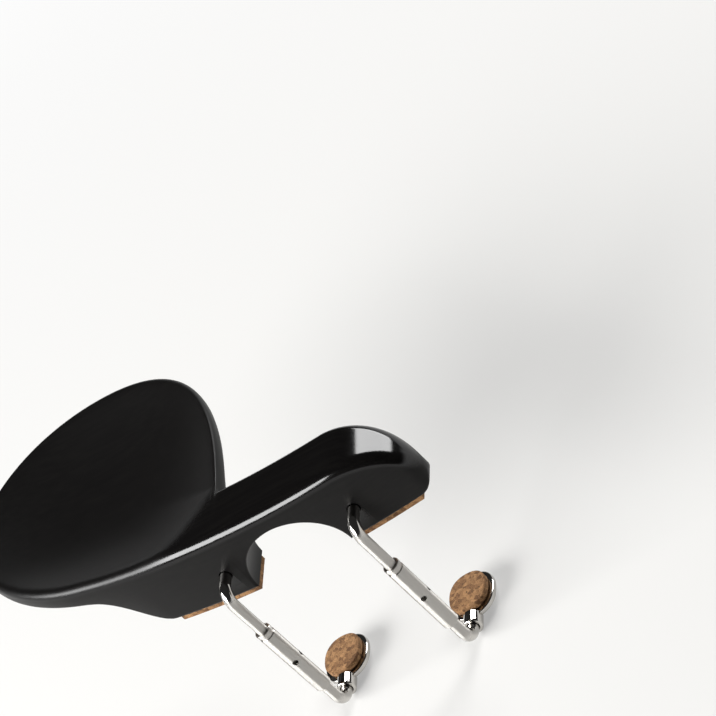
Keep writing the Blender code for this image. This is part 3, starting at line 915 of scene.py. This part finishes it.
def pad(name, outline, low, high, edge, rough, material):
    """Flat pad with softened edges; rough makes its cut edge uneven."""
    steps = 4
    centre = sum(outline, Vector((0, 0))) / len(outline)
    profile = fillet((edge, low + edge), edge, -QUARTER, -math.pi, steps)
    profile += [(0, z) for z in between(low + edge, high - edge, steps)]
    profile += fillet((edge, high - edge), edge, math.pi, QUARTER, steps)
    rings = []
    for inset, z in profile:
        ring = []
        for i, point in enumerate(outline):
            ahead = outline[(i + 1) % len(outline)] - outline[i - 1]
            inward = Vector((-ahead.y, ahead.x)).normalized()
            if inward.dot(centre - point) < 0:
                inward = -inward
            bite = 0.5 + 0.5 * noise.noise(Vector((point.x, point.y, z)) / CORK_GRAIN)
            flat = point + inward * (inset + rough * bite)
            ring.append((flat.x, flat.y, z))
        rings.append(ring)
    data = lofted(name, rings)
    soften(data, sharp=50)
    return mesh_object(name, data, material)


def even(points, spacing):
    """The closed outline, resampled."""
    ring = points + points[:1]
    total = sum((b - a).length for a, b in zip(ring, ring[1:]))
    count = int(total / spacing)
    return [along(ring, i / count) for i in range(count)]


def oval(low, high, steps=96):
    """Plan of a clamp foot between two corners, a little fuller than an ellipse."""
    fullness = 0.85
    centre = (low + high) / 2
    half = (high - low) / 2
    points = []
    for turn in turns(steps):
        across = math.copysign(abs(math.cos(turn)) ** fullness, math.cos(turn))
        deep = math.copysign(abs(math.sin(turn)) ** fullness, math.sin(turn))
        points.append(Vector((centre.x + half.x * across, centre.y + half.y * deep)))
    return points


def curved_strip(low, high, wall, steps=24):
    """Plan of a plate cork between two corners, with the wall's curve in front and behind."""
    xs = spread(low.x, high.x, steps)
    curve = [wall(x) for x in xs]
    front = [Vector((x, low.y + y - min(curve))) for x, y in zip(xs, curve)]
    back = [Vector((x, high.y + y - max(curve))) for x, y in zip(xs, curve)]
    return front + back[::-1]


class CHINREST_OT_corks(bpy.types.Operator):
    """Cut the cork pads under the plate and on the clamp feet"""

    bl_idname = "chin_rest.corks"
    bl_label = "Cork pads"

    def execute(self, context):
        clamp = context.scene.chin_rest_clamp
        cork = sheet_cork(context)
        wall = Outline(context.scene.chin_rest_plate).wall
        for side in SIDES:
            for place, body in (("plate", "plate"), ("foot", f"lower_clamp_{side}")):
                node = f"{place}_cork_{side}"
                low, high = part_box(node)
                plan = oval(low, high) if place == "foot" else curved_strip(low, high, wall)
                obj = pad(
                    f"{place}_pad_{side}", even(plan, CORK_SPACING), low.z, high.z,
                    clamp.cork_edge, clamp.cork_rough, cork,
                )
                settle(obj, body, "cork", node)
        return {"FINISHED"}


def new_tree(name, inputs):
    """A shape tree and what adds its nodes, which is None where it is already made."""
    if name in bpy.data.node_groups:
        return bpy.data.node_groups[name], None
    tree = bpy.data.node_groups.new(name, "GeometryNodeTree")
    for label, kind in inputs.items():
        tree.interface.new_socket(label, in_out="INPUT", socket_type=f"NodeSocket{kind}")
    tree.interface.new_socket("Shape", in_out="OUTPUT", socket_type="NodeSocketGeometry")
    return tree, partial(add, tree)


def finish_tree(node, shape, material):
    """Ends a tree in one plain mesh of this material."""
    real = node("GeometryNodeRealizeInstances", {"Geometry": shape})
    dressed = node("GeometryNodeSetMaterial", {"Geometry": real, "Material": material})
    node("NodeGroupOutput", {0: dressed})


def grown(obj, name, tree, values, sharp):
    """What a tree with these inputs makes of the object, as a plain object."""
    modifier = obj.modifiers.new(tree.name, "NODES")
    modifier.node_group = tree
    for item in tree.interface.items_tree:
        if item.in_out == "INPUT" and item.name in values:
            modifier[item.identifier] = values[item.name]
    return plain_mesh(obj, name, values["Material"], sharp)


def rod_tree():
    """Bent round rod along a path, with a thread rolled on its first stretch."""
    inputs = {"Path": "Geometry"}
    inputs |= dict.fromkeys(("Radius", "Bend", "Pitch", "Thread depth", "Thread"), "Float")
    tree, node = new_tree("bent_rod", inputs | {"Material": "Material"})
    if not node:
        return tree
    given = node("NodeGroupInput").outputs
    bent = node(
        "GeometryNodeFilletCurve",
        {"Curve": given["Path"], "Count": 24, "Radius": given["Bend"], "Limit Radius": True},
        mode="POLY",
    )
    spaced = node(
        "GeometryNodeResampleCurve", {"Curve": bent, "Length": 0.1 * MM}, mode="LENGTH"
    )
    circle = node(
        "GeometryNodeCurvePrimitiveCircle", {"Resolution": 24, "Radius": given["Radius"]}
    )
    parameter = node("GeometryNodeSplineParameter").outputs
    tangent = node("GeometryNodeInputTangent").outputs[0]
    path = node("GeometryNodeCaptureAttribute", {"Geometry": spaced})
    profile = node("GeometryNodeCaptureAttribute", {"Geometry": circle})
    for holder, kind, label, source in (
        (path, "FLOAT", "reach", parameter["Length"]),
        (path, "VECTOR", "along", tangent),
        (profile, "FLOAT", "turn", parameter["Factor"]),
    ):
        holder.capture_items.new(kind, label)
        tree.links.new(source, holder.inputs[label])
    reach = path.outputs["reach"]
    bar = node(
        "GeometryNodeCurveToMesh", {"Curve": path, "Profile Curve": profile, "Fill Caps": True}
    )
    wound = node("ShaderNodeMath", {0: reach, 1: given["Pitch"]}, operation="DIVIDE")
    phase = node("ShaderNodeMath", {0: wound, 1: profile.outputs["turn"]}, operation="ADD")
    wave = node("ShaderNodeMath", {0: phase, 1: 0.5}, operation="PINGPONG")
    # The thread runs out over its last half millimetre
    left = node("ShaderNodeMath", {0: given["Thread"], 1: reach}, operation="SUBTRACT")
    runout = node("ShaderNodeMapRange", {"Value": left, "From Max": 0.5 * MM})
    deep = node("ShaderNodeMath", {0: wave, 1: runout}, operation="MULTIPLY")
    # The wave rises to a half, so twice of it cuts the full depth
    cut = node("ShaderNodeMath", {0: deep, 1: given["Thread depth"]}, operation="MULTIPLY")
    inward = node("ShaderNodeMath", {0: cut, 1: -2.0}, operation="MULTIPLY")
    normal = node("GeometryNodeInputNormal")
    offset = node("ShaderNodeVectorMath", {0: normal, "Scale": inward}, operation="SCALE")
    threaded = node("GeometryNodeSetPosition", {"Geometry": bar, "Offset": offset})
    marked = node(
        "GeometryNodeStoreNamedAttribute",
        {"Geometry": threaded, "Name": "along", "Value": path.outputs["along"]},
        data_type="FLOAT_VECTOR",
    )
    # The thread's depth goes out as root, where the nickel paints shade and oil
    rooted = node(
        "GeometryNodeStoreNamedAttribute", {"Geometry": marked, "Name": "root", "Value": deep}
    )
    finish_tree(node, rooted, given["Material"])
    return tree


def bent_rod(name, corners, bend, clamp, material):
    """A rod through these corners; its thread starts at the first one."""
    curve = bpy.data.curves.new(name, "CURVE")
    curve.dimensions = "3D"
    spline = curve.splines.new("POLY")
    spline.points.add(len(corners) - 1)
    for point, corner in zip(spline.points, corners):
        point.co = (*corner, 1)
    values = {
        "Radius": clamp.rod / 2,
        "Bend": bend,
        "Pitch": clamp.pitch,
        "Thread depth": clamp.thread_depth,
        "Thread": clamp.thread,
        "Material": material,
    }
    return grown(linked(name, curve), name, rod_tree(), values, sharp=50)


class CHINREST_OT_rods(bpy.types.Operator):
    """Bend the plated rods of the upper and lower hooks"""

    bl_idname = "chin_rest.rods"
    bl_label = "Hooks"

    def execute(self, context):
        clamp = context.scene.chin_rest_clamp
        nickel = nickel_plate(context)
        half = clamp.rod / 2
        for side in SIDES:
            for level, body in (("upper", "plate"), ("lower", f"lower_clamp_{side}")):
                node = f"{level}_hook_{side}"
                low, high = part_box(node)
                upper = level == "upper"
                bend = clamp.upper_bend if upper else clamp.lower_bend
                free, turned_in = (low.z, high.z - half) if upper else (high.z, low.z + half)
                x = (low.x + high.x) / 2
                corner = Vector((x, low.y + half, turned_in))
                path = [Vector((x, corner.y, free)), corner, Vector((x, high.y, corner.z))]
                obj = bent_rod(f"hook_{level}_{side}", path, bend, clamp, nickel)
                settle(obj, body, "nickel_plate", node)
        return {"FINISHED"}


def pin_hole_tree():
    """Pin holes drilled across a barrel at even turns."""
    inputs = {"Barrel": "Geometry", "Rows": "Int"}
    inputs |= dict.fromkeys(("Hole radius", "Reach", "First turn"), "Float")
    tree, node = new_tree("pin_holes", inputs | {"Middle": "Vector", "Material": "Material"})
    if not node:
        return tree
    given = node("NodeGroupInput").outputs
    drill_bit = node(
        "GeometryNodeMeshCylinder",
        {"Vertices": 32, "Radius": given["Hole radius"], "Depth": given["Reach"]},
    )
    rows = node(
        "GeometryNodeMeshLine",
        {"Count": given["Rows"], "Start Location": given["Middle"], "Offset": (0, 0, 0)},
    )
    index = node("GeometryNodeInputIndex")
    step = node("ShaderNodeMath", {0: math.pi, 1: given["Rows"]}, operation="DIVIDE")
    turn = node(
        "ShaderNodeMath", {0: index, 1: step, 2: given["First turn"]}, operation="MULTIPLY_ADD"
    )
    rotation = node("ShaderNodeCombineXYZ", {"X": QUARTER, "Z": turn})
    bits = node(
        "GeometryNodeInstanceOnPoints",
        {"Points": rows, "Instance": drill_bit, "Rotation": rotation},
    )
    tools = node("GeometryNodeRealizeInstances", {"Geometry": bits})
    drilled = node(
        "GeometryNodeMeshBoolean",
        {"Mesh 1": given["Barrel"], "Mesh 2": tools, "Self Intersection": True},
        operation="DIFFERENCE", solver="EXACT",
    )
    finish_tree(node, drilled, given["Material"])
    return tree


def turned(name, profile, place, sides=72):
    """Closed ring turned from a profile of radius and height."""
    rings = []
    for turn in turns(sides):
        x, y = math.cos(turn), math.sin(turn)
        rings.append([
            (place.x + radius * x, place.y + radius * y, place.z + height)
            for radius, height in profile
        ])
    return lofted(name, rings, closed=True)


def barrel_profile(clamp, half):
    """Wall of a barrel from the top of its bore, over the lip and the groove to its lower end."""
    outer = clamp.barrel / 2
    bore = clamp.bore / 2
    soft = clamp.groove_depth
    neck = outer - soft
    lip = half - clamp.lip
    groove = lip - clamp.groove
    profile = [(bore, half)]
    profile += fillet((neck, half - soft), soft, QUARTER, 0)
    profile += fillet((neck, lip + soft), soft, 0, -QUARTER)
    profile += [(neck, lip - soft), (neck, groove + soft)]
    profile += fillet((neck, groove - soft), soft, QUARTER, 0)
    low = clamp.barrel_round
    profile += fillet((outer - low, low - half), low, 0, -math.pi / 3)
    return profile + [(bore, -half)]


class CHINREST_OT_barrels(bpy.types.Operator):
    """Turn the barrels and drill their pin holes"""

    bl_idname = "chin_rest.barrels"
    bl_label = "Turnbuckle barrels"

    def execute(self, context):
        clamp = context.scene.chin_rest_clamp
        nickel = nickel_plate(context)
        for side in SIDES:
            node = f"barrel_{side}"
            name = f"barrel_turned_{side}"
            low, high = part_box(node)
            place = (low + high) / 2
            profile = barrel_profile(clamp, (high.z - low.z) / 2)
            values = {
                "Rows": clamp.pin_rows,
                "Hole radius": clamp.pin_hole / 2,
                "Reach": 2 * clamp.barrel,
                "First turn": clamp.pin_turn,
                "Middle": place,
                "Material": nickel,
            }
            obj = mesh_object(name, turned(node, profile, place), nickel)
            obj = grown(obj, name, pin_hole_tree(), values, sharp=38)
            grain = obj.data.attributes.new("along", "FLOAT_VECTOR", "POINT")
            grain.data.foreach_set("vector", (0.0, 0.0, 1.0) * len(grain.data))
            settle(obj, node, "nickel_plate", node)
        return {"FINISHED"}


def boss(place, radius, reach, soft, sides=48):
    """Round boss with a softened front edge, from its front end back."""
    x, y, z = place
    profile = fillet((radius - soft, soft), soft, -QUARTER, 0)
    profile.append((radius, reach))
    rings = []
    for wide, deep in profile:
        rings.append([
            (x + wide * math.cos(turn), y + deep, z + wide * math.sin(turn))
            for turn in turns(sides)
        ])
    return lofted("boss", rings)


class CHINREST_OT_feet(bpy.types.Operator):
    """Make the foot plates with the bosses that take the lower rods"""

    bl_idname = "chin_rest.feet"
    bl_label = "Clamp feet"

    def execute(self, context):
        clamp = context.scene.chin_rest_clamp
        nickel = nickel_plate(context)
        for side in SIDES:
            node = f"foot_plate_{side}"
            name = f"foot_{side}"
            low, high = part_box(node)
            cork_low, cork_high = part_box(f"foot_cork_{side}")
            rod_low, rod_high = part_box(f"lower_hook_{side}")
            margin = (high.x - low.x - cork_high.x + cork_low.x) / 2
            front = cork_low.y - margin
            x = (low.x + high.x) / 2
            z = (low.z + high.z) / 2
            half = clamp.foot_plate / 2
            plan = oval(Vector((low.x, front, 0)), Vector((high.x, high.y, 0)))
            obj = pad(name, plan, z - half, z + half, clamp.foot_edge, 0, nickel)
            reach = front + OVERRUN - low.y
            stub = boss((x, low.y, z), clamp.boss / 2, reach, clamp.foot_edge)
            combine(obj, stub, "UNION")
            start = Vector((x, rod_low.y, z))
            end = Vector((x, rod_high.y + OVERRUN, z))
            combine(obj, drill(start, end, clamp.bore / 2), "DIFFERENCE")
            obj = plain_mesh(obj, name, nickel, sharp=35)
            settle(obj, f"lower_clamp_{side}", "nickel_plate", node)
        return {"FINISHED"}


def set_camera(scene):
    """Camera at the photograph's place and turn."""
    stage = scene.chin_rest_stage
    camera = bpy.data.cameras.new("camera")
    camera.sensor_width = 36
    camera.lens = stage.focal
    camera.clip_start = 0.05
    camera.clip_end = 20
    right = Vector(stage.right).normalized()
    up = Vector(stage.up).normalized()
    turn = Matrix((right, up, right.cross(up))).transposed()
    obj = linked("camera", camera)
    obj.matrix_world = Matrix.Translation(stage.camera) @ turn.to_4x4()
    scene.camera = obj


def studio_paper(context):
    """Matte white background paper: plain white far off, with the shadow kept round the object."""
    material, node = new_material("studio_paper")
    if not node:
        return material
    look = context.scene.chin_rest_finishes
    paper = node(
        "ShaderNodeBsdfPrincipled",
        {"Base Color": (*look.floor, 1), "Roughness": 0.9, "Specular IOR Level": 0.1},
    )
    white = node("ShaderNodeEmission", {"Color": (1, 1, 1, 1), "Strength": 1.0})
    ray = node("ShaderNodeLightPath").outputs
    straight = node(
        "ShaderNodeMath", {0: ray["Is Camera Ray"], 1: ray["Is Glossy Ray"]}, operation="ADD"
    )
    seen = node(
        "ShaderNodeMath", {0: straight, 1: ray["Is Transmission Ray"]}, operation="ADD",
        use_clamp=True,
    )
    place = node("ShaderNodeTexCoord").outputs["Object"]
    away = node("ShaderNodeVectorMath", {0: place}, operation="LENGTH").outputs["Value"]
    fade = node(
        "ShaderNodeMapRange",
        {"Value": away, "From Min": 0.15, "From Max": 0.6, "To Min": look.white},
    )
    whiten = node("ShaderNodeMath", {0: seen, 1: fade}, operation="MULTIPLY")
    mixed = node("ShaderNodeMixShader", {0: whiten, 1: paper, 2: white})
    node("ShaderNodeOutputMaterial", {"Surface": mixed})
    return material


def set_floor(context, height, half_width=3.0):
    """Paper floor under the clamp's feet, at every travel of theirs."""
    grid = bmesh.new()
    bmesh.ops.create_grid(grid, x_segments=1, y_segments=1, size=half_width)
    data = mesh_data(grid, "floor")
    data.transform(Matrix.Translation((0, 0, height)))
    floor = mesh_object("floor", data, studio_paper(context))
    # The rest stands on its clamps, so the floor keeps under the lower one as they travel
    travels = [joint["range_m"][1] for joint in frame["joints"] if joint["type"] == "slide"]
    floor.location.z = max(travels)
    for side in SIDES:
        limit = floor.constraints.new("FLOOR")
        limit.target = frame["bodies"][f"lower_clamp_{side}"]
        limit.floor_location = "FLOOR_NEGATIVE_Z"
    floor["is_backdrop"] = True


def set_room(scene):
    """White round the horizon and higher behind, dark above as under a black ceiling."""
    rear = 0.6
    climb = 0.6
    world = bpy.data.worlds.new("studio")
    world.use_nodes = True
    world.node_tree.nodes.clear()
    scene.world = world
    node = partial(add, world.node_tree)
    toward = node("ShaderNodeTexCoord").outputs["Generated"]
    way = node("ShaderNodeSeparateXYZ", {0: toward}).outputs
    # The edge between white and dark climbs towards the rear
    behind = node("ShaderNodeMath", {0: way["Y"], 1: rear}, operation="MAXIMUM")
    height = node(
        "ShaderNodeMath", {0: behind, 1: -climb, 2: way["Z"]}, operation="MULTIPLY_ADD"
    )
    level = node("ShaderNodeMapRange", {
        "Value": height,
        "From Min": -0.33,
        "From Max": -0.22,
        "To Min": 1.0,
        "To Max": scene.chin_rest_stage.sky,
    })
    room = node("ShaderNodeBackground", {"Color": (1, 1, 1, 1), "Strength": level})
    node("ShaderNodeOutputWorld", {"Surface": room})


def softbox(name, place, target, size, watts, roll=0.0):
    """Area light that faces its target, turned about its own axis by the roll."""
    lamp = bpy.data.lights.new(name, "AREA")
    lamp.shape = "RECTANGLE"
    lamp.size, lamp.size_y = size
    lamp.energy = watts
    obj = linked(name, lamp)
    obj.location = place
    facing = (target - place).to_track_quat("-Z", "Y").to_matrix()
    obj.rotation_euler = (facing @ Matrix.Rotation(roll, 3, "Z")).to_euler()


class CHINREST_OT_stage(bpy.types.Operator):
    """Set the floor, the light and the camera"""

    bl_idname = "chin_rest.stage"
    bl_label = "Stage"

    KEY_SIZE = (0.86, 0.42)
    KEY_ROLL = math.radians(49)
    STRIP_SIZE = (1.05, 0.42)

    def execute(self, context):
        scene = context.scene
        stage = scene.chin_rest_stage
        scene.view_settings.view_transform = "Standard"
        low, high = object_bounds()
        centre = (low + high) / 2
        set_camera(scene)
        set_floor(context, low.z)
        set_room(scene)
        behind = centre + Vector(stage.key_place)
        softbox("key", behind, centre, self.KEY_SIZE, stage.key, self.KEY_ROLL)
        before = centre + Vector(stage.strip_place)
        softbox("strip", before, centre, self.STRIP_SIZE, stage.strip)
        return {"FINISHED"}


class CHINREST_PT_panel(bpy.types.Panel):
    """Lists the pieces and their sizes"""

    bl_label = "Chin rest"
    bl_idname = "CHINREST_PT_panel"
    bl_space_type = "VIEW_3D"
    bl_region_type = "UI"
    bl_category = "Chin rest"

    def draw(self, context):
        for operator in OPERATORS:
            self.layout.operator(operator.bl_idname)
        for group in GROUPS:
            box = self.layout.box()
            held = getattr(context.scene, group)
            for name in held.__annotations__:
                box.prop(held, name)


GROUPS = {
    "chin_rest_plate": PlateSizes,
    "chin_rest_clamp": ClampSizes,
    "chin_rest_finishes": Finishes,
    "chin_rest_stage": StageSettings,
}
OPERATORS = (
    CHINREST_OT_plate,
    CHINREST_OT_corks,
    CHINREST_OT_rods,
    CHINREST_OT_barrels,
    CHINREST_OT_feet,
    CHINREST_OT_stage,
)
CLASSES = (*GROUPS.values(), *OPERATORS, CHINREST_PT_panel)


def register():
    for cls in CLASSES:
        bpy.utils.register_class(cls)
    for name, group in GROUPS.items():
        setattr(bpy.types.Scene, name, PointerProperty(type=group))


def unregister():
    for name in GROUPS:
        delattr(bpy.types.Scene, name)
    for cls in reversed(CLASSES):
        bpy.utils.unregister_class(cls)


def main():
    register()
    bpy.ops.chin_rest.plate()
    bpy.ops.chin_rest.corks()
    bpy.ops.chin_rest.rods()
    bpy.ops.chin_rest.barrels()
    bpy.ops.chin_rest.feet()
    bpy.ops.chin_rest.stage()


if __name__ == "__main__":
    main()
